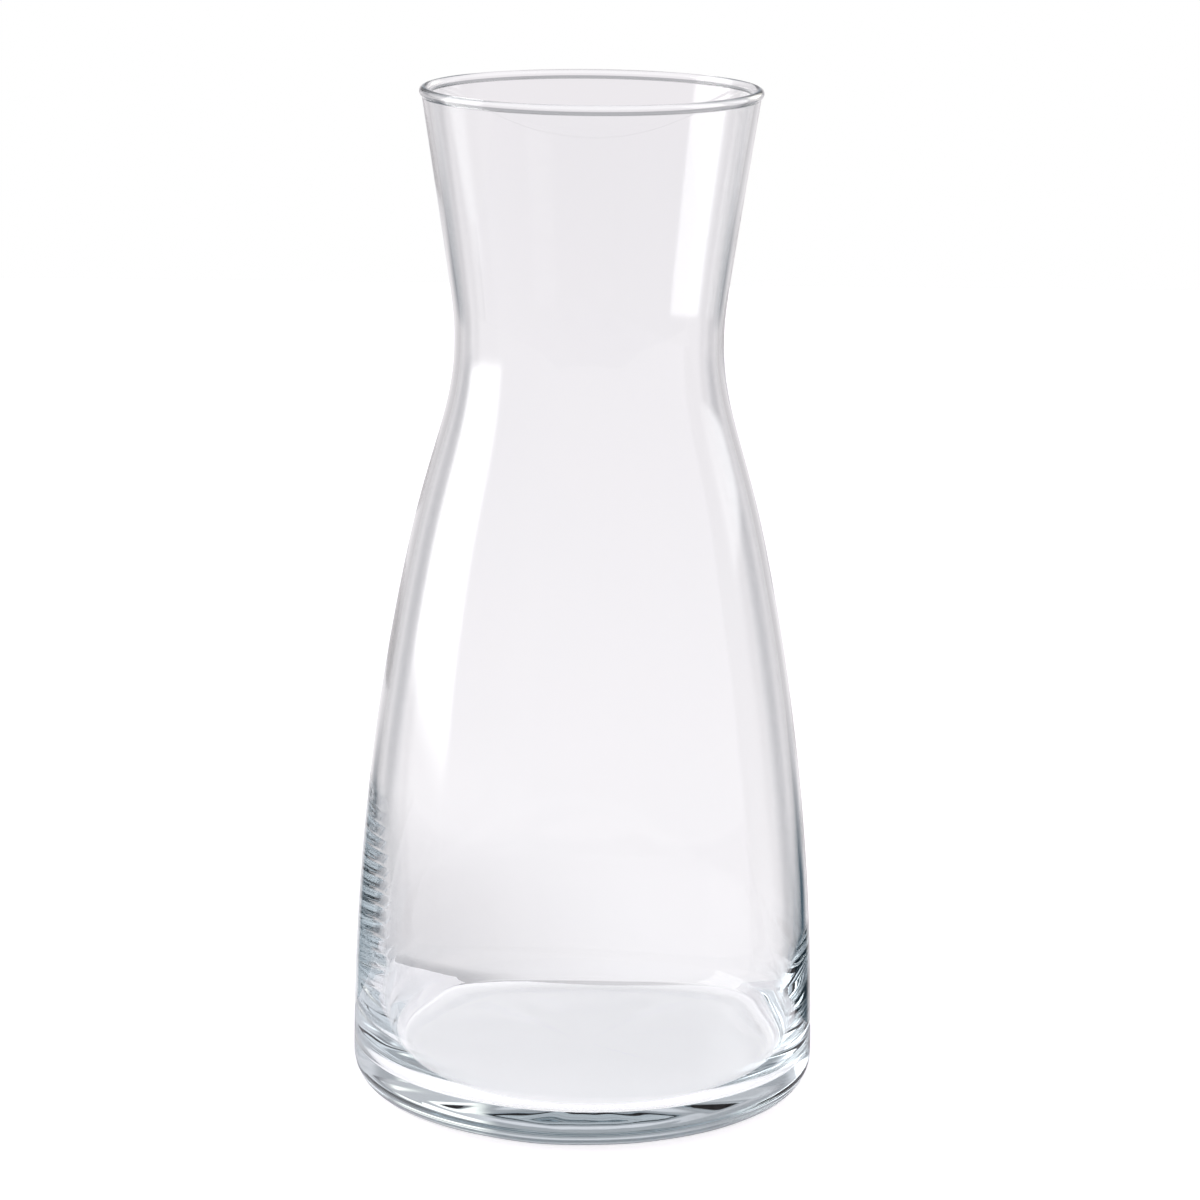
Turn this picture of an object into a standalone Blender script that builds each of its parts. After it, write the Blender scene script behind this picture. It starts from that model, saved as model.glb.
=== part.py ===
"""An open glass table carafe, turned from one profile.

Lengths are in metres and +Z is up. The origin is on the axis, on the surface
that the carafe stands on. Overall height is the sum of the heel and the three
rises: body, shoulder and flare.
"""
import math

import bpy
from mathutils import Vector
from mathutils.geometry import interpolate_bezier

# Outside, from the foot up
BODY_RADIUS = 0.0525  # widest, at the top of the heel
HEEL_RADIUS = 0.0079  # round between the foot and the wall
BODY_RISE = 0.1183  # heel to shoulder, one long arc that starts upright
SHOULDER_RADIUS = 0.0401
SHOULDER_RISE = 0.0462  # shoulder to waist
SHOULDER_PULL = 0.0233  # how far the body's line carries on past the shoulder
WAIST_PULL = 0.0151  # how far below the waist the neck is already upright
WAIST_RADIUS = 0.0300
FLARE_CORNER = 0.0064  # above the waist, where the flare's straight line starts
FLARE_RISE = 0.0563  # waist to the top of the lip
LIP_RADIUS = 0.0379  # outside of the rounded lip, from the axis
LIP_SWELL = 0.00045  # how far the lip stands out from each face of the wall

# Thickness of the glass
NECK_WALL = 0.0013  # just under the lip
BODY_WALL = 0.0016  # where the wall starts to thicken downwards
THICKENING_RISE = 0.0640  # from the top of the floor's corner to that place
FOOT_WALL = 0.0040  # at the top of the floor's corner
FLOOR_HEIGHT = 0.0083  # inner floor above the surface under the carafe
FLOOR_CORNER = 0.0035  # round between the floor and the wall

# Underside
BEARING_WIDTH = 0.0060  # flat ring that the carafe stands on
PUSH_UP = 0.0018  # rise of the hollow inside that ring

# Fineness of the facets
TURN_STEPS = 64
BODY_POINTS = 9
SHOULDER_POINTS = 9
FLARE_POINTS = 8
LIP_POINTS = 9
HEEL_POINTS = 7
CORNER_POINTS = 7
PUSH_UP_POINTS = 4
MERGE_DISTANCE = 0.00001

# Places that follow from the sizes above
SHOULDER_HEIGHT = HEEL_RADIUS + BODY_RISE
WAIST_HEIGHT = SHOULDER_HEIGHT + SHOULDER_RISE
HEIGHT = WAIST_HEIGHT + FLARE_RISE
CORNER_TOP = FLOOR_HEIGHT + FLOOR_CORNER
LIP_ROUND = NECK_WALL / 2 + LIP_SWELL
LIP_CENTRE = Vector((LIP_RADIUS - LIP_ROUND, 0, HEIGHT - LIP_ROUND))

# The body's arc is upright at the heel and passes through the shoulder
DRAW_IN = BODY_RADIUS - SHOULDER_RADIUS
BODY_ARC = (BODY_RISE**2 + DRAW_IN**2) / (2 * DRAW_IN)
SHOULDER_LEAN = 2 * math.atan2(DRAW_IN, BODY_RISE)


def clear_scene():
    for obj in list(bpy.data.objects):
        bpy.data.objects.remove(obj)


def arc(centre, radius, start, end, count):
    """Points on an arc in the XZ plane, with angles from +X towards +Z."""
    points = []
    for index in range(count):
        angle = start + (end - start) * index / (count - 1)
        points.append(centre + radius * Vector((math.cos(angle), 0, math.sin(angle))))
    return points


def body_points(bottom):
    """The body's long arc, from a height up to the shoulder."""
    points = []
    for index in range(BODY_POINTS):
        height = bottom + (SHOULDER_HEIGHT - bottom) * index / (BODY_POINTS - 1)
        drop = BODY_ARC - math.sqrt(BODY_ARC**2 - (height - HEEL_RADIUS) ** 2)
        points.append(Vector((BODY_RADIUS - drop, 0, height)))
    return points


def shoulder_points():
    """From the shoulder's lean through an S to the upright waist."""
    lean = Vector((-math.sin(SHOULDER_LEAN), 0, math.cos(SHOULDER_LEAN)))
    shoulder = Vector((SHOULDER_RADIUS, 0, SHOULDER_HEIGHT))
    waist = Vector((WAIST_RADIUS, 0, WAIST_HEIGHT))
    below_waist = waist - Vector((0, 0, WAIST_PULL))
    above_shoulder = shoulder + lean * SHOULDER_PULL
    return interpolate_bezier(shoulder, above_shoulder, below_waist, waist, SHOULDER_POINTS)


def flare_corner():
    return Vector((WAIST_RADIUS, 0, WAIST_HEIGHT + FLARE_CORNER))


def flare_axes():
    """Directions along the flare and square to it, outwards."""
    along = (LIP_CENTRE + Vector((NECK_WALL / 2, 0, 0)) - flare_corner()).normalized()
    outward = Vector((along.z, 0, -along.x))
    return along, outward


def flare_points():
    """From the upright waist to where the straight flare meets the lip."""
    along, outward = flare_axes()
    waist = Vector((WAIST_RADIUS, 0, WAIST_HEIGHT))
    sink = math.sqrt(LIP_ROUND**2 - (NECK_WALL / 2) ** 2)
    top = LIP_CENTRE + outward * (NECK_WALL / 2) - along * sink
    return interpolate_bezier(waist, flare_corner(), flare_corner(), top, FLARE_POINTS)


def wall_points(bottom):
    """Outer face of the wall, from a height up to the lip."""
    return body_points(bottom) + shoulder_points()[1:] + flare_points()[1:]


def wall_thickness(height):
    """Even taper up to the lip, and a swelling wall down to the floor."""
    thickening_height = CORNER_TOP + THICKENING_RISE
    if height < thickening_height:
        share = (thickening_height - height) / THICKENING_RISE
        smooth_share = share**2 * (3 - 2 * share)
        return BODY_WALL + (FOOT_WALL - BODY_WALL) * smooth_share
    share = (height - thickening_height) / (LIP_CENTRE.z - thickening_height)
    return BODY_WALL + (NECK_WALL - BODY_WALL) * min(share, 1)


def inner_wall_points():
    """The outer face moved inwards by the thickness of the wall."""
    face = wall_points(CORNER_TOP)
    points = []
    for index, point in enumerate(face):
        before = face[max(index - 1, 0)]
        after = face[min(index + 1, len(face) - 1)]
        along = (after - before).normalized()
        inward = Vector((-along.z, 0, along.x))
        points.append(point + inward * wall_thickness(point.z))
    return points


def lip_points():
    """Rounded lip, from the inner face over the top to the outer face."""
    along, outward = flare_axes()
    tilt = math.atan2(outward.z, outward.x)
    tuck = math.acos(NECK_WALL / 2 / LIP_ROUND)
    return arc(LIP_CENTRE, LIP_ROUND, math.pi + tuck + tilt, tilt - tuck, LIP_POINTS)


def floor_points(inner_radius):
    """Inner floor from the axis, with its round corner up to the wall."""
    centre = Vector((inner_radius - FLOOR_CORNER, 0, CORNER_TOP))
    corner = arc(centre, FLOOR_CORNER, -math.pi / 2, 0, CORNER_POINTS)
    return [Vector((0, 0, FLOOR_HEIGHT))] + corner


def foot_points():
    """Heel, flat bearing ring and the hollow inside it, down and in to the axis."""
    ring = BODY_RADIUS - HEEL_RADIUS
    heel = arc(Vector((ring, 0, HEEL_RADIUS)), HEEL_RADIUS, 0, -math.pi / 2, HEEL_POINTS)
    hollow_radius = ring - BEARING_WIDTH
    hollow = []
    for index in range(PUSH_UP_POINTS + 1):
        share = index / PUSH_UP_POINTS
        hollow.append(Vector((hollow_radius * (1 - share), 0, PUSH_UP * (1 - (1 - share) ** 2))))
    return heel + hollow


def carafe_profile():
    """Closed half section: inside from the axis up, then down the outside."""
    inner_wall = inner_wall_points()
    outer_wall = wall_points(HEEL_RADIUS)[::-1]
    return (
        floor_points(inner_wall[0].x)[:-1]
        + inner_wall[:-1]
        + lip_points()
        + outer_wall[1:-1]
        + foot_points()
    )


def turned_object(name, profile, collection):
    """A profile in the XZ plane turned once about Z."""
    mesh = bpy.data.meshes.new(name)
    edges = [(index, index + 1) for index in range(len(profile) - 1)]
    mesh.from_pydata(profile, edges, [])
    obj = bpy.data.objects.new(name, mesh)
    collection.objects.link(obj)
    screw = obj.modifiers.new("Turn", "SCREW")
    screw.axis = "Z"
    screw.angle = math.tau
    screw.steps = TURN_STEPS
    screw.render_steps = TURN_STEPS
    screw.use_merge_vertices = True
    screw.merge_threshold = MERGE_DISTANCE
    screw.use_smooth_shade = True
    return obj


def clear_glass():
    material = bpy.data.materials.new("clear_glass")
    material.use_nodes = True
    shader = material.node_tree.nodes["Principled BSDF"]
    shader.inputs["Base Color"].default_value = (0.95, 0.97, 0.97, 1)
    shader.inputs["Roughness"].default_value = 0.02
    shader.inputs["Metallic"].default_value = 0
    shader.inputs["IOR"].default_value = 1.52
    shader.inputs["Transmission Weight"].default_value = 1
    return material


def main():
    clear_scene()
    collection = bpy.data.collections.new("glass_carafe")
    bpy.context.scene.collection.children.link(collection)
    carafe = turned_object("carafe_body", carafe_profile(), collection)
    carafe.data.materials.append(clear_glass())


main()
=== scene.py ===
"""Looks of the open glass table carafe: its fine glass, the studio floor, light and camera.

Lengths are in metres and +Z is up. Azimuths of the studio light are in degrees from straight
behind the carafe, positive to the camera's right, and elevations are in degrees above level.
"""
import bisect
import math

import bmesh
import bpy
from mathutils import Matrix, Vector
from mathutils.geometry import interpolate_bezier


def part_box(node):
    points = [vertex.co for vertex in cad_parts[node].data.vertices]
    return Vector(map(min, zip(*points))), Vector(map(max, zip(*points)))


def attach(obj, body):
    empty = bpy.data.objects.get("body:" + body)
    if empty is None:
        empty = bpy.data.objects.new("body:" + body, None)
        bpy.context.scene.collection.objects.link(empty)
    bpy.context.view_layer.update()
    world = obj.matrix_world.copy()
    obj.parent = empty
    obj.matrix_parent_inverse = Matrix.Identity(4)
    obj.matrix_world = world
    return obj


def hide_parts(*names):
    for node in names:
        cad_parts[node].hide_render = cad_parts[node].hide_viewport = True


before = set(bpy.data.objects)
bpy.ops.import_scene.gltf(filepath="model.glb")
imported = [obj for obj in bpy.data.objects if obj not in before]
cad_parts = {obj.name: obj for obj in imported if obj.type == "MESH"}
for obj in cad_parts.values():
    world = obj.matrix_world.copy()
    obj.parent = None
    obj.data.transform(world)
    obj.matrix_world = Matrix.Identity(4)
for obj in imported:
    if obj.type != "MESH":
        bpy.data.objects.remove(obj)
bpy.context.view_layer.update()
node_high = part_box("carafe_body")[1]

# Outside of the glass, from the foot up
BODY_RADIUS = node_high.x
HEIGHT = node_high.z
HEEL_RADIUS = 0.0079
BODY_RISE = 0.1183
SHOULDER_RADIUS = 0.0401
SHOULDER_RISE = 0.0462
SHOULDER_PULL = 0.0233
WAIST_PULL = 0.0151
WAIST_RADIUS = 0.0300
FLARE_CORNER = 0.0064
LIP_RADIUS = 0.0379
LIP_SWELL = 0.00045
LIP_BLEND = 0.0003  # length over which the wall's face turns into the lip's

# Thickness of the glass
NECK_WALL = 0.0013
BODY_WALL = 0.0017
FOOT_WALL = 0.0038
FOOT_WALL_TOP = 0.013  # the foot's extra glass is full up to here
BODY_WALL_BOTTOM = 0.040  # and gone from here up
BASE_SWELL = 0.0037  # more glass at the floor's corner, which falls to 1/e over the rise below
BASE_SWELL_RISE = 0.005
FLOOR_HEIGHT = 0.0083
CORNER_WIDTH = 0.0010  # round between the floor and the wall
CORNER_RISE = 0.0006

# Underside
BEARING_WIDTH = 0.0060
PUSH_UP = 0.0004
FOOT_WAVES = ((5, 0.4, 0.5), (9, 2.1, 0.3), (14, 4.4, 0.2))  # count round the foot, turn, share
FOOT_WAVE_HEIGHT = 0.0003
FOOT_WAVE_TOP = 0.0050  # the waves fade out up the heel to here

# Unevenness of the inside: the wall is thicker low on the left, the floor sits off the axis,
# and slanting rings ripple the left
LEFT_SWELL = 0.0019  # extra thickness
LEFT_SWELL_HEIGHTS = (0.013, 0.034, 0.034, 0.074)  # none, full, full and none again
LEFT_SWELL_FOCUS = 3  # the higher, the closer the extra glass keeps to the left
FLOOR_SHIFT = Vector((0.0011, -0.0007, 0))
FLOOR_SHIFT_TOP = 0.010  # full up to here
FLOOR_SHIFT_END = 0.030  # and none from here up
RIPPLE_DEPTH = 0.00014
RIPPLE_WIDTH = 0.00025  # from a ring's middle to three fifths of its depth
RIPPLE_PITCH = 0.00355
RIPPLE_BOTTOM = 0.020
RIPPLE_TOP = 0.074
RIPPLE_LOW_FADE = 0.010  # the rings grow to full depth over this height
RIPPLE_HIGH_FADE = 0.032  # and die out over this one
RIPPLE_TURN = math.radians(8)  # middle of the rings, from the left towards the front
RIPPLE_FULL = math.radians(12)  # full depth either side of that
RIPPLE_END = math.radians(21)  # and none from here on
RIPPLE_SLANT = 0.0090  # rise of the rings towards the front, per radian
RIPPLE_SLANT_END = math.radians(60)  # the slant has died out here

# Fineness of the glass mesh
TURN_STEPS = 192
LOW_WALL_POINTS = 30
# Rows of the mesh above and below the middle of each ring
RIPPLE_OFFSETS = (-0.0012, -0.0006, -0.0004, -0.0002, 0, 0.0002, 0.0004, 0.0006, 0.0012)
HIGH_WALL_POINTS = 60
OUTER_BODY_POINTS = 50
SHOULDER_POINTS = 32
FLARE_POINTS = 32
LIP_POINTS = 24
HEEL_POINTS = 24
CORNER_POINTS = 20
FLOOR_POINTS = 16
RING_POINTS = 4
PUSH_UP_POINTS = 14
MERGE_RADIUS = 0.00001

# Places that follow from the sizes above
SHOULDER_HEIGHT = HEEL_RADIUS + BODY_RISE
WAIST_HEIGHT = SHOULDER_HEIGHT + SHOULDER_RISE
CORNER_TOP = FLOOR_HEIGHT + CORNER_RISE
LIP_ROUND = NECK_WALL / 2 + LIP_SWELL
LIP_CENTRE = Vector((LIP_RADIUS - LIP_ROUND, 0, HEIGHT - LIP_ROUND))
DRAW_IN = BODY_RADIUS - SHOULDER_RADIUS
BODY_ARC = (BODY_RISE**2 + DRAW_IN**2) / (2 * DRAW_IN)
SHOULDER_LEAN = 2 * math.atan2(DRAW_IN, BODY_RISE)

# Glass
GLASS_IOR = 1.52
GLASS_ABSORPTION = (2.4, 1.5, 1.1)  # per metre of glass, red, green and blue
ABSORPTION_DENSITY = 10.0  # which the three above are shares of
GLASS_COLOUR = (1.0, 1.0, 1.0)
GLASS_TINT = (0.985, 0.992, 0.992)  # where the waves are highest
WAVE_SCALE = 28.0  # waves of the faces, about this many to a metre
WAVE_DETAIL = 1.0
WAVE_HEIGHT = 0.00012
WEAR_HEIGHT = 0.00004  # wear dulls the glass up to here
WEAR_ROUGHNESS = 0.20  # at the foot's very bottom
WEAR_SCALE = 900.0
WEAR_DETAIL = 3.0

# Plain colours
WHITE = (1, 1, 1)
BLACK = (0, 0, 0, 1)

# Floor: its edge behind the carafe shows only through the glass
FLOOR_LEVEL = -0.0003
FLOOR_HALF_WIDTH = 0.6
FLOOR_FRONT = -1.2
FLOOR_BACK = 1.2
FLOOR_COLOUR = (0.775, 0.75, 0.785, 1)
FLOOR_ROUGHNESS = 0.9
FLOOR_SPECULAR = 0.1
FLOOR_EDGE = 0.0460
FLOOR_EDGE_SLANT = -0.10  # sideways rise of that edge
SHADE_LINE_WIDTH = 0.016  # painted shade: a dark line along it that ends a little right of the middle, then fades out
SHADE_LINE_END = 0.014
SHADE_LINE_FADE = 0.020
SHADE_LINE_DEPTH = 0.55
SHADE_WIDTH = 0.18  # wide soft shade beyond it, from full at SHADE_LEFT to none at SHADE_RIGHT
SHADE_LEFT = -0.06
SHADE_RIGHT = 0.02
SHADE_DEPTH = 0.50
SHADE_COLOUR = (0.45, 0.44, 0.46, 1)
FILL_COLOUR = (1.0, 0.985, 1.0, 1)
CAMERA_FILL = 0.68  # light that the floor adds of its own towards the camera
GLASS_FILL = 0.38  # and towards the glass
BASE_FILL = 0.77  # and under the carafe, painted light where the glass shades the floor, out to a radius, past which it falls to GLASS_FILL
BASE_FILL_RADIUS = 0.050
BASE_FILL_END = 0.060

# Studio light around the carafe, as (azimuths, elevations, colour), each laid over those before
# it: a range of four angles rises from none at the first to full at the second, and falls from
# the third to none at the fourth
SURROUNDINGS = (0.12, 0.12, 0.14)
DARK_SIDES = (0.05, 0.09, 0.12)
TOP_LIGHT = (0.50, 0.51, 0.53)
HIGH_LIGHT = (0.42, 0.42, 0.44)
LOW_LIGHT = (0.90, 0.875, 0.90)
ANY = (-999, -998, 998, 999)
ZONES = (
    (ANY, (1, 9, 998, 999), HIGH_LIGHT),  # above the horizon
    ((52, 62, 998, 999), ANY, (0.80, 0.777, 0.80)),  # right side
    ((82, 88, 998, 999), ANY, (0.95, 0.926, 0.95)),  # beside and before the carafe
    ((-999, -998, -62, -52), ANY, (0.95, 0.926, 0.95)),  # left side
    ((-52, -42, 42, 52), (-999, -998, 2, 8), (0.62, 0.603, 0.62)),  # wide band behind
    ((-48, -44, 44, 48), (-999, -998, -15, -11), DARK_SIDES),  # its dark low part
    ((-26, -10, 10, 26), (-999, -998, 2, 8), (0.84, 0.812, 0.84)),  # straight behind
    ((-26, -12, 12, 26), (-999, -998, -20, -4), (0.97, 0.945, 0.97)),  # brighter low down
    (ANY, (-999, -998, -50, -38), LOW_LIGHT),  # steeply below
    (ANY, (48, 60, 998, 999), TOP_LIGHT),  # overhead
    ((14, 20, 40, 46), (2, 6, 16, 24), (1.6, 1.56, 1.46)),  # cream light behind on the right
    ((44, 50, 66, 76), (0, 2, 7, 12), (1.6, 1.6, 1.62)),  # white card on the right
)

# Soft box on the left: a tall upright sheet of light that reaches below the floor
SOFTBOX_DISTANCE = 1.39
SOFTBOX_NEAR = -0.30
SOFTBOX_FAR = 0.80
SOFTBOX_BOTTOM = -0.062
SOFTBOX_TOP = 1.20
SOFTBOX_COLOUR = (1.0, 1.0, 1.0, 1)
SOFTBOX_STRENGTH = 3.1
SOFTBOX_SEEN_THROUGH = 0.95  # as seen straight through the glass
FIRST_MIRRORING = 0.5  # between no reflection on light's way and one
SOFTBOX_SIDE_FADE = 0.10  # width of the soft band along its upright edges
SOFTBOX_LOW_FADE = 0.11  # height of the one along its lower edge

# Camera, fitted to the outline in the 1200 pixel image
IMAGE_PIXELS = 1200
FOCAL_PIXELS = 4317
SENSOR_WIDTH = 36
CAMERA_PLACE = Vector((0.003, -0.9483, 0.3309))
CAMERA_PITCH = math.radians(12.933)
CAMERA_ROLL = math.radians(0.61)
LIGHT_BOUNCES = 24


def smooth_step(low, high, value):
    """Smooth rise from 0 to 1 as the value goes from low to high."""
    share = max(0, min(1, (value - low) / (high - low)))
    return share**2 * (3 - 2 * share)


def arc(centre, across, up, start, end, count):
    """Points on an ellipse's arc in the XZ plane, with angles from +X towards +Z."""
    points = []
    for index in range(count):
        angle = start + (end - start) * index / (count - 1)
        points.append(centre + Vector((across * math.cos(angle), 0, up * math.sin(angle))))
    return points


def body_point(height):
    """A place on the body's long arc."""
    drop = BODY_ARC - math.sqrt(BODY_ARC**2 - (height - HEEL_RADIUS) ** 2)
    return Vector((BODY_RADIUS - drop, 0, height))


def even_heights(bottom, top, count):
    return [bottom + (top - bottom) * index / (count - 1) for index in range(count)]


def shoulder_points():
    """From the shoulder's lean through an S to the upright waist."""
    lean = Vector((-math.sin(SHOULDER_LEAN), 0, math.cos(SHOULDER_LEAN)))
    shoulder = Vector((SHOULDER_RADIUS, 0, SHOULDER_HEIGHT))
    waist = Vector((WAIST_RADIUS, 0, WAIST_HEIGHT))
    below_waist = waist - Vector((0, 0, WAIST_PULL))
    above_shoulder = shoulder + lean * SHOULDER_PULL
    return interpolate_bezier(shoulder, above_shoulder, below_waist, waist, SHOULDER_POINTS)


def flare_corner():
    return Vector((WAIST_RADIUS, 0, WAIST_HEIGHT + FLARE_CORNER))


def flare_axes():
    """Directions along the flare and square to it, outwards."""
    along = (LIP_CENTRE + Vector((NECK_WALL / 2, 0, 0)) - flare_corner()).normalized()
    outward = Vector((along.z, 0, -along.x))
    return along, outward


def flare_points():
    """From the upright waist to where the straight flare meets the lip."""
    along, outward = flare_axes()
    waist = Vector((WAIST_RADIUS, 0, WAIST_HEIGHT))
    sink = math.sqrt(LIP_ROUND**2 - (NECK_WALL / 2) ** 2)
    top = LIP_CENTRE + outward * (NECK_WALL / 2) - along * sink
    points = interpolate_bezier(waist, flare_corner(), flare_corner(), top, FLARE_POINTS)
    return points[:-1] + [top - along * LIP_BLEND, top]


def wall_thickness(height):
    """Even taper up to the lip, with extra glass in the foot and at the floor's corner."""
    taper_share = min((height - CORNER_TOP) / (LIP_CENTRE.z - CORNER_TOP), 1)
    base_share = math.exp((CORNER_TOP - height) / BASE_SWELL_RISE)
    foot_share = 1 - smooth_step(FOOT_WALL_TOP, BODY_WALL_BOTTOM, height)
    wall = BODY_WALL + (NECK_WALL - BODY_WALL) * taper_share
    return wall + (FOOT_WALL - BODY_WALL) * foot_share + BASE_SWELL * base_share


def ripple_heights():
    """Middles of the ripple's rings."""
    count = int((RIPPLE_TOP - RIPPLE_BOTTOM) / RIPPLE_PITCH)
    return [RIPPLE_BOTTOM + RIPPLE_PITCH * (index + 0.5) for index in range(count)]


def inner_wall_points():
    """The outer face moved inwards by the thickness of the wall."""
    heights = even_heights(CORNER_TOP, RIPPLE_BOTTOM, LOW_WALL_POINTS)
    for ring in ripple_heights():
        heights += [ring + offset for offset in RIPPLE_OFFSETS]
    heights += even_heights(RIPPLE_TOP, SHOULDER_HEIGHT, HIGH_WALL_POINTS)
    face = [body_point(height) for height in heights]
    face += shoulder_points()[1:] + flare_points()[1:]
    points = []
    for index, point in enumerate(face):
        before = face[max(index - 1, 0)]
        after = face[min(index + 1, len(face) - 1)]
        along = (after - before).normalized()
        inward = Vector((-along.z, 0, along.x))
        points.append(point + inward * wall_thickness(point.z))
    return points


def inner_radius(height):
    """Even inside radius of the wall at a height."""
    index = bisect.bisect([point.z for point in INNER_WALL], height)
    below, above = INNER_WALL[index - 1], INNER_WALL[index]
    share = (height - below.z) / (above.z - below.z)
    return below.x + (above.x - below.x) * share


def inside_points():
    """Floor from the axis, its round corner, and the inner wall up to the lip."""
    corner_centre = Vector((INNER_WALL[0].x - CORNER_WIDTH, 0, CORNER_TOP))
    corner = arc(corner_centre, CORNER_WIDTH, CORNER_RISE, -math.pi / 2, 0, CORNER_POINTS)
    floor = []
    for index in range(FLOOR_POINTS):
        floor.append(Vector((corner[0].x * index / FLOOR_POINTS, 0, FLOOR_HEIGHT)))
    return floor + corner[:-1] + INNER_WALL[:-1]


def lip_points():
    """Rounded lip, from the inner face over the top to the outer face."""
    along, outward = flare_axes()
    tilt = math.atan2(outward.z, outward.x)
    tuck = math.acos(NECK_WALL / 2 / LIP_ROUND)
    return arc(LIP_CENTRE, LIP_ROUND, LIP_ROUND, math.pi + tuck + tilt, tilt - tuck, LIP_POINTS)


def outside_points():
    """Lip, outer wall, heel, bearing ring and the hollow inside it, down and in to the axis."""
    heights = even_heights(HEEL_RADIUS, SHOULDER_HEIGHT, OUTER_BODY_POINTS)
    wall = [body_point(height) for height in heights]
    wall += shoulder_points()[1:] + flare_points()[1:]
    ring = BODY_RADIUS - HEEL_RADIUS
    heel_centre = Vector((ring, 0, HEEL_RADIUS))
    heel = arc(heel_centre, HEEL_RADIUS, HEEL_RADIUS, 0, -math.pi / 2, HEEL_POINTS)
    bearing = []
    for index in range(1, RING_POINTS):
        bearing.append(Vector((ring - BEARING_WIDTH * index / RING_POINTS, 0, 0)))
    hollow = []
    for index in range(PUSH_UP_POINTS + 1):
        share = 1 - index / PUSH_UP_POINTS
        hollow.append(Vector(((ring - BEARING_WIDTH) * share, 0, PUSH_UP * (1 - share**2) ** 2)))
    return lip_points() + wall[::-1][1:-1] + heel + bearing + hollow


def ripple_reach(height):
    """Share of the rings' full depth and slant at a height."""
    rise = smooth_step(RIPPLE_BOTTOM, RIPPLE_BOTTOM + RIPPLE_LOW_FADE, height)
    return rise * (1 - smooth_step(RIPPLE_TOP - RIPPLE_HIGH_FADE, RIPPLE_TOP, height))


def ripple(turn, height):
    """Depth of the narrow rings at a turn from the left and a height."""
    turn_reach = 1 - smooth_step(RIPPLE_FULL, RIPPLE_END, abs(turn - RIPPLE_TURN))
    from_ring = min(abs(height - ring) for ring in ripple_heights())
    crest = math.exp(-((from_ring / RIPPLE_WIDTH) ** 2) / 2)
    return RIPPLE_DEPTH * ripple_reach(height) * turn_reach * crest


def ripple_lift(turn, height):
    """How far the rings rise or sink away from the left."""
    reach = 1 - smooth_step(RIPPLE_END, RIPPLE_SLANT_END, abs(turn))
    return RIPPLE_SLANT * turn * reach * ripple_reach(height)


def left_swell(angle, height):
    """Extra thickness of the wall low on the left."""
    none, full, full_end, end = LEFT_SWELL_HEIGHTS
    reach = smooth_step(none, full, height) * (1 - smooth_step(full_end, end, height))
    return LEFT_SWELL * reach * ((1 - math.cos(angle)) / 2) ** LEFT_SWELL_FOCUS


def inside_place(point, angle):
    """A point of the inside, turned to an angle, uneven and set off the axis low down."""
    turn = angle % math.tau - math.pi
    radius = point.x
    height = point.z
    if RIPPLE_BOTTOM < height < RIPPLE_TOP:
        height += ripple_lift(turn, height)
        radius = inner_radius(height) + ripple(turn, point.z)
    radius -= left_swell(angle, height)
    shift = FLOOR_SHIFT * (1 - smooth_step(FLOOR_SHIFT_TOP, FLOOR_SHIFT_END, height))
    return shift + Vector((radius * math.cos(angle), radius * math.sin(angle), height))


def foot_wave(angle, height):
    """Lift of the uneven underside, which dies out up the heel."""
    lift = sum(share * math.sin(count * angle + turn) for count, turn, share in FOOT_WAVES)
    return FOOT_WAVE_HEIGHT * (1 + lift) / 2 * (1 - smooth_step(0, FOOT_WAVE_TOP, height))


def outside_place(point, angle):
    """A point of the outside, turned to an angle, with the underside's waves."""
    height = point.z
    if height < FOOT_WAVE_TOP:
        height += foot_wave(angle, height) * point.x / BODY_RADIUS
    return Vector((point.x * math.cos(angle), point.x * math.sin(angle), height))


def turned_row(point, place, vertices):
    """Vertices of one ring of the glass, or of its single point on the axis."""
    first = len(vertices)
    count = 1 if point.x < MERGE_RADIUS else TURN_STEPS
    for step in range(count):
        vertices.append(place(point, math.tau * step / TURN_STEPS))
    return list(range(first, first + count))


def faces_between(row, next_row):
    """Faces that join two rings, either of which may be a point on the axis."""
    faces = []
    for step in range(TURN_STEPS):
        following = (step + 1) % TURN_STEPS
        if len(row) == 1:
            faces.append((row[0], next_row[step], next_row[following]))
        elif len(next_row) == 1:
            faces.append((row[step], next_row[0], row[following]))
        else:
            faces.append((row[step], next_row[step], next_row[following], row[following]))
    return faces


def glass_object():
    """The closed skin of the glass, from the floor's middle over the lip to the underside's."""
    vertices = []
    rows = [turned_row(point, inside_place, vertices) for point in inside_points()]
    rows += [turned_row(point, outside_place, vertices) for point in outside_points()]
    faces = []
    for row, next_row in zip(rows, rows[1:]):
        faces += faces_between(row, next_row)
    mesh = bpy.data.meshes.new("carafe_glass")
    mesh.from_pydata(vertices, [], faces)
    turn_faces_out(mesh)
    mesh.shade_smooth()
    obj = bpy.data.objects.new("carafe_glass", mesh)
    bpy.context.scene.collection.objects.link(obj)
    return obj


def turn_faces_out(mesh):
    work = bmesh.new()
    work.from_mesh(mesh)
    if work.calc_volume(signed=True) < 0:
        bmesh.ops.reverse_faces(work, faces=work.faces[:])
        work.to_mesh(mesh)
    work.free()


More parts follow.
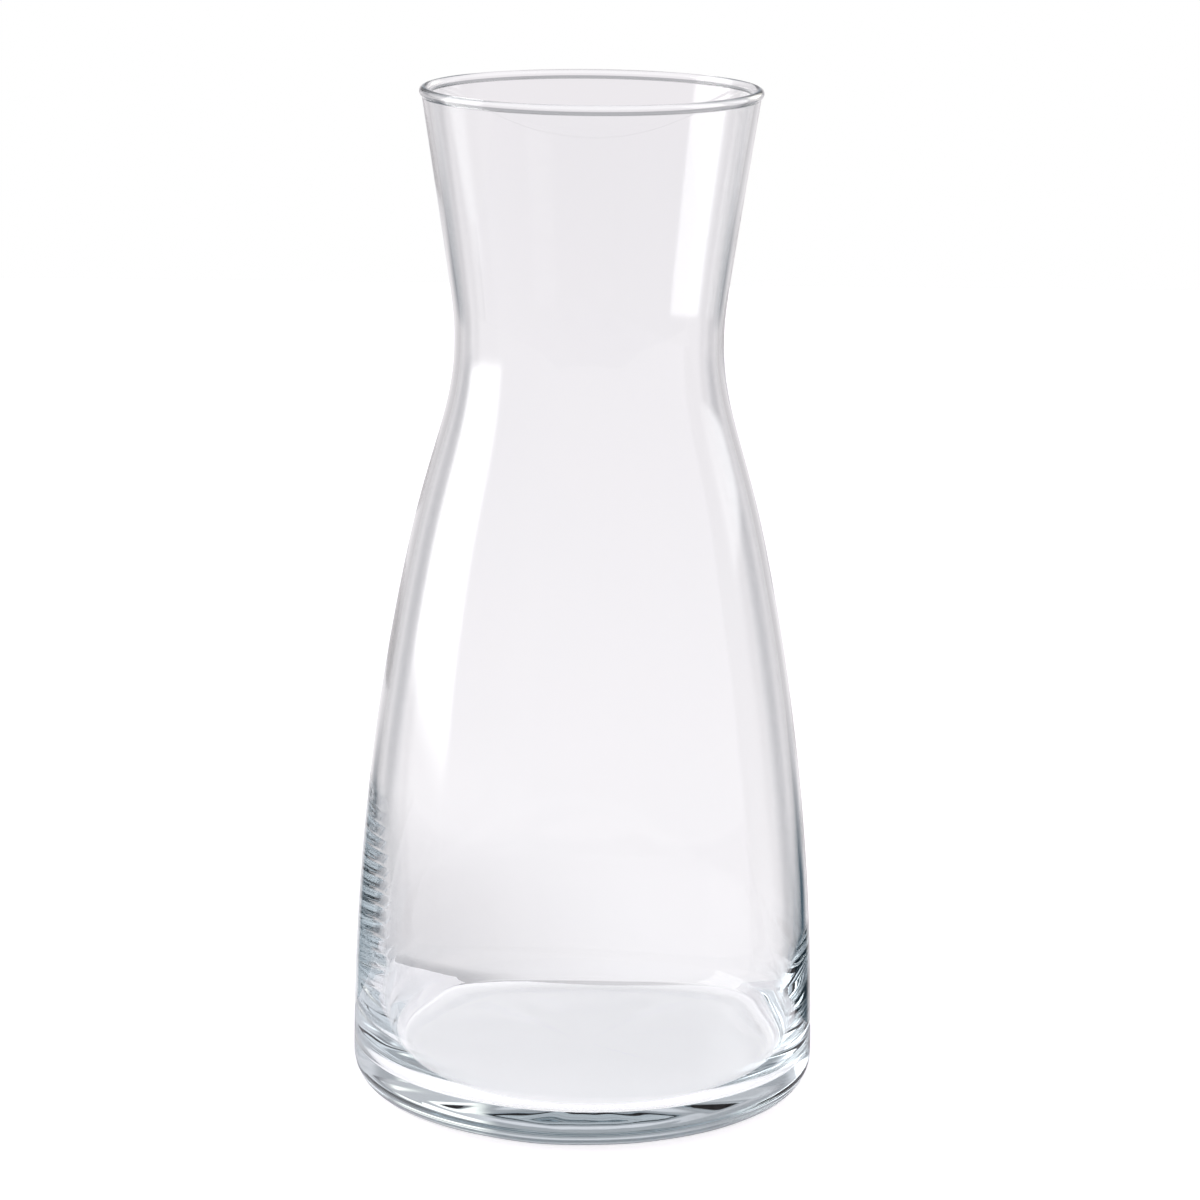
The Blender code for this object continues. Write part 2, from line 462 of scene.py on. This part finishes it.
class NodeTree:
    """Short ways to add the nodes that the materials and the studio light use."""

    def __init__(self, tree):
        self.tree = tree

    def add(self, kind):
        return self.tree.nodes.new(kind)

    def link(self, source, socket):
        self.tree.links.new(source, socket)

    def parts(self, vector):
        """X, Y and Z of a vector."""
        node = self.add("ShaderNodeSeparateXYZ")
        self.link(vector, node.inputs[0])
        return node.outputs

    def place(self):
        """X, Y and Z of the place that is shaded."""
        return self.parts(self.add("ShaderNodeNewGeometry").outputs["Position"])

    def math(self, operation, *values):
        node = self.add("ShaderNodeMath")
        node.operation = operation
        for socket, value in zip(node.inputs, values):
            if isinstance(value, (int, float)):
                socket.default_value = value
            else:
                self.link(value, socket)
        return node.outputs["Value"]

    def rise(self, value, low, high, start=0.0, end=1.0):
        """Smooth change from start to end as the value goes from low to high."""
        node = self.add("ShaderNodeMapRange")
        node.interpolation_type = "SMOOTHSTEP"
        self.link(value, node.inputs["Value"])
        node.inputs["From Min"].default_value = low
        node.inputs["From Max"].default_value = high
        node.inputs["To Min"].default_value = start
        node.inputs["To Max"].default_value = end
        return node.outputs["Result"]

    def band(self, value, limits):
        """Full between the middle two limits, and none outside the outer two."""
        up = self.rise(value, limits[0], limits[1])
        down = self.rise(value, limits[2], limits[3], 1.0, 0.0)
        return self.math("MULTIPLY", up, down)

    def noise(self, place, scale, detail):
        node = self.add("ShaderNodeTexNoise")
        self.link(place, node.inputs["Vector"])
        node.inputs["Scale"].default_value = scale
        node.inputs["Detail"].default_value = detail
        return node.outputs["Fac"]

    def blend(self, share, colour, under):
        """A colour laid over another, which is given as three numbers or as a node's output.

        The Mix node has like-named sockets for other types, so these are picked by type.
        """
        node = self.add("ShaderNodeMix")
        node.data_type = "RGBA"
        under_socket, colour_socket = [
            socket for socket in node.inputs if socket.type == "RGBA"
        ]
        self.link(share, node.inputs["Factor"])
        colour_socket.default_value = (*colour, 1)
        if isinstance(under, tuple):
            under_socket.default_value = (*under, 1)
        else:
            self.link(under, under_socket)
        return [socket for socket in node.outputs if socket.type == "RGBA"][0]


def clear_glass():
    """Clear glass, faintly wavy and tinted, with the foot's ring dulled by wear."""
    material = bpy.data.materials.new("clear_glass")
    material.use_nodes = True
    tree = material.node_tree
    nodes = NodeTree(tree)
    shader = tree.nodes["Principled BSDF"]
    shader.inputs["IOR"].default_value = GLASS_IOR
    shader.inputs["Transmission Weight"].default_value = 1
    place = nodes.add("ShaderNodeTexCoord").outputs["Object"]
    waves = nodes.noise(place, WAVE_SCALE, WAVE_DETAIL)
    nodes.link(nodes.blend(waves, GLASS_TINT, GLASS_COLOUR), shader.inputs["Base Color"])
    bump = nodes.add("ShaderNodeBump")
    bump.inputs["Distance"].default_value = WAVE_HEIGHT
    nodes.link(waves, bump.inputs["Height"])
    nodes.link(bump.outputs["Normal"], shader.inputs["Normal"])
    height = nodes.parts(place)["Z"]
    worn = nodes.rise(height, 0.0, WEAR_HEIGHT, WEAR_ROUGHNESS, 0.0)
    scratches = nodes.noise(place, WEAR_SCALE, WEAR_DETAIL)
    nodes.link(nodes.math("MULTIPLY", worn, scratches), shader.inputs["Roughness"])
    absorption = nodes.add("ShaderNodeVolumeAbsorption")
    absorption.inputs["Density"].default_value = ABSORPTION_DENSITY
    tint = [1 - share / ABSORPTION_DENSITY for share in GLASS_ABSORPTION]
    absorption.inputs["Color"].default_value = (*tint, 1)
    nodes.link(absorption.outputs["Volume"], tree.nodes["Material Output"].inputs["Volume"])
    return material


def floor_material():
    """Pale matt floor that keeps shadows, with a fill that lifts it to the white background."""
    material = bpy.data.materials.new("pale_floor")
    material.use_nodes = True
    nodes = NodeTree(material.node_tree)
    shader = material.node_tree.nodes["Principled BSDF"]
    shader.inputs["Base Color"].default_value = FLOOR_COLOUR
    shader.inputs["Roughness"].default_value = FLOOR_ROUGHNESS
    shader.inputs["Specular IOR Level"].default_value = FLOOR_SPECULAR
    shader.inputs["Emission Color"].default_value = FILL_COLOUR
    path = nodes.add("ShaderNodeLightPath")
    distance = nodes.add("ShaderNodeVectorMath")
    distance.operation = "LENGTH"
    nodes.link(nodes.add("ShaderNodeNewGeometry").outputs["Position"], distance.inputs[0])
    # Painted light: a stronger glow under the carafe, where the glass shades the floor, as seen
    # through the glass
    under_glass = nodes.rise(
        distance.outputs["Value"], BASE_FILL_RADIUS, BASE_FILL_END, BASE_FILL, GLASS_FILL
    )
    through_glass = nodes.math("MULTIPLY", path.outputs["Is Transmission Ray"], under_glass)
    to_camera = nodes.math("MULTIPLY", path.outputs["Is Camera Ray"], CAMERA_FILL)
    nodes.link(nodes.math("ADD", through_glass, to_camera), shader.inputs["Emission Strength"])
    return material


def stage_sheet(name, corners, material):
    """A flat sheet with four corners that belongs to the studio, not to the carafe."""
    mesh = bpy.data.meshes.new(name)
    mesh.from_pydata(corners, [], [(0, 1, 2, 3)])
    mesh.materials.append(material)
    sheet = bpy.data.objects.new(name, mesh)
    bpy.context.scene.collection.objects.link(sheet)
    return sheet


def floor_edge(across):
    """Where the floor ends behind the carafe, as the glass shows it."""
    return FLOOR_EDGE + FLOOR_EDGE_SLANT * across


def floor_sheet(name, near, far, material):
    """A sheet between two lines, each given by its places at the floor's left and right."""
    left, right = -FLOOR_HALF_WIDTH, FLOOR_HALF_WIDTH
    corners = [(left, near[0], FLOOR_LEVEL), (right, near[1], FLOOR_LEVEL)]
    corners += [(right, far[1], FLOOR_LEVEL), (left, far[0], FLOOR_LEVEL)]
    return stage_sheet(name, corners, material)


def painted_shade_material():
    """Painted shade along the floor's edge: a dark line and a wide soft shade beyond it, fading
    to clear. Only the glass sees it.
    """
    material = bpy.data.materials.new("floor_painted_shade")
    material.use_nodes = True
    nodes = NodeTree(material.node_tree)
    shader = material.node_tree.nodes["Principled BSDF"]
    shader.inputs["Base Color"].default_value = BLACK
    shader.inputs["Specular IOR Level"].default_value = 0
    shader.inputs["Emission Color"].default_value = SHADE_COLOUR
    shader.inputs["Emission Strength"].default_value = 1
    place = nodes.place()
    edge = nodes.math("MULTIPLY_ADD", place["X"], FLOOR_EDGE_SLANT, FLOOR_EDGE)
    beyond = nodes.math("SUBTRACT", place["Y"], edge)
    line = nodes.rise(beyond, 0.0, SHADE_LINE_WIDTH, SHADE_LINE_DEPTH, 0.0)
    line_along = nodes.rise(place["X"], SHADE_LINE_END, SHADE_LINE_END + SHADE_LINE_FADE, 1.0, 0.0)
    shade = nodes.rise(beyond, 0.0, SHADE_WIDTH, SHADE_DEPTH, 0.0)
    shade_along = nodes.rise(place["X"], SHADE_LEFT, SHADE_RIGHT, 1.0, 0.0)
    painted_shade_line = nodes.math("MULTIPLY", line, line_along)
    depth = nodes.math("MULTIPLY_ADD", shade, shade_along, painted_shade_line)
    nodes.link(nodes.math("MINIMUM", depth, 1.0), shader.inputs["Alpha"])
    return material


def add_floor():
    """Floor in front of its edge, behind it for the camera alone, and painted shade along the
    edge.
    """
    material = floor_material()
    front = (FLOOR_FRONT, FLOOR_FRONT)
    edge = (floor_edge(-FLOOR_HALF_WIDTH), floor_edge(FLOOR_HALF_WIDTH))
    shade_far_edge = (edge[0] + SHADE_WIDTH, edge[1] + SHADE_WIDTH)
    floor_sheet("floor_front", front, edge, material)
    back = floor_sheet("floor_back", edge, (FLOOR_BACK, FLOOR_BACK), material)
    back.visible_transmission = False
    back.visible_glossy = False
    # Sheet of painted shade along the floor's edge, seen only through the glass
    shade = floor_sheet("floor_painted_shade", edge, shade_far_edge, painted_shade_material())
    shade.visible_camera = False
    shade.visible_diffuse = False
    shade.visible_glossy = False
    shade.visible_shadow = False


def add_studio_light():
    """Soft light by direction. The camera itself sees plain white."""
    world = bpy.data.worlds.new("studio")
    bpy.context.scene.world = world
    world.use_nodes = True
    nodes = NodeTree(world.node_tree)
    x, y, z = nodes.parts(nodes.add("ShaderNodeTexCoord").outputs["Generated"])
    azimuth = nodes.math("DEGREES", nodes.math("ARCTAN2", x, y))
    elevation = nodes.math("DEGREES", nodes.math("ARCSINE", z))
    light = SURROUNDINGS
    for azimuths, elevations, colour in ZONES:
        share = nodes.math(
            "MULTIPLY", nodes.band(azimuth, azimuths), nodes.band(elevation, elevations)
        )
        light = nodes.blend(share, colour, light)
    path = nodes.add("ShaderNodeLightPath")
    light = nodes.blend(path.outputs["Is Camera Ray"], WHITE, light)
    nodes.link(light, world.node_tree.nodes["Background"].inputs["Color"])


def add_softbox():
    """Tall soft box that fades out towards its upright and lower edges.

    The camera doesn't see it, and what shows of it straight through the glass is dimmed.
    """
    corners = [
        (-SOFTBOX_DISTANCE, SOFTBOX_NEAR, SOFTBOX_BOTTOM),
        (-SOFTBOX_DISTANCE, SOFTBOX_FAR, SOFTBOX_BOTTOM),
        (-SOFTBOX_DISTANCE, SOFTBOX_FAR, SOFTBOX_TOP),
        (-SOFTBOX_DISTANCE, SOFTBOX_NEAR, SOFTBOX_TOP),
    ]
    material = bpy.data.materials.new("softbox")
    material.use_nodes = True
    nodes = NodeTree(material.node_tree)
    shader = material.node_tree.nodes["Principled BSDF"]
    shader.inputs["Base Color"].default_value = BLACK
    shader.inputs["Specular IOR Level"].default_value = 0
    shader.inputs["Emission Color"].default_value = SOFTBOX_COLOUR
    path = nodes.add("ShaderNodeLightPath")
    unmirrored = nodes.math("LESS_THAN", path.outputs["Glossy Depth"], FIRST_MIRRORING)
    straight = nodes.math("MULTIPLY", path.outputs["Is Transmission Ray"], unmirrored)
    dimming = SOFTBOX_SEEN_THROUGH - SOFTBOX_STRENGTH
    strength = nodes.math("MULTIPLY_ADD", straight, dimming, SOFTBOX_STRENGTH)
    nodes.link(strength, shader.inputs["Emission Strength"])
    place = nodes.place()
    near_end = SOFTBOX_NEAR + SOFTBOX_SIDE_FADE
    far_start = SOFTBOX_FAR - SOFTBOX_SIDE_FADE
    low_end = SOFTBOX_BOTTOM + SOFTBOX_LOW_FADE
    across = nodes.band(place["Y"], (SOFTBOX_NEAR, near_end, far_start, SOFTBOX_FAR))
    up = nodes.rise(place["Z"], SOFTBOX_BOTTOM, low_end)
    nodes.link(nodes.math("MULTIPLY", across, up), shader.inputs["Alpha"])
    softbox = stage_sheet("softbox", corners, material)
    softbox.visible_camera = False


def add_camera():
    camera = bpy.data.objects.new("camera", bpy.data.cameras.new("camera"))
    bpy.context.scene.collection.objects.link(camera)
    bpy.context.scene.camera = camera
    camera.data.sensor_width = SENSOR_WIDTH
    camera.data.lens = FOCAL_PIXELS / IMAGE_PIXELS * SENSOR_WIDTH
    camera.matrix_world = (
        Matrix.Translation(CAMERA_PLACE)
        @ Matrix.Rotation(math.pi / 2 - CAMERA_PITCH, 4, "X")
        @ Matrix.Rotation(CAMERA_ROLL, 4, "Z")
    )


def set_light_paths():
    """Light runs a long way inside the thick foot before it leaves it."""
    cycles = bpy.context.scene.cycles
    cycles.max_bounces = LIGHT_BOUNCES
    cycles.glossy_bounces = LIGHT_BOUNCES
    cycles.transmission_bounces = LIGHT_BOUNCES


INNER_WALL = inner_wall_points()
glass = glass_object()
glass.data.materials.append(clear_glass())
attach(glass, "root")
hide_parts("carafe_body")
add_floor()
add_studio_light()
add_softbox()
add_camera()
set_light_paths()
bpy.context.scene.view_settings.view_transform = "Standard"
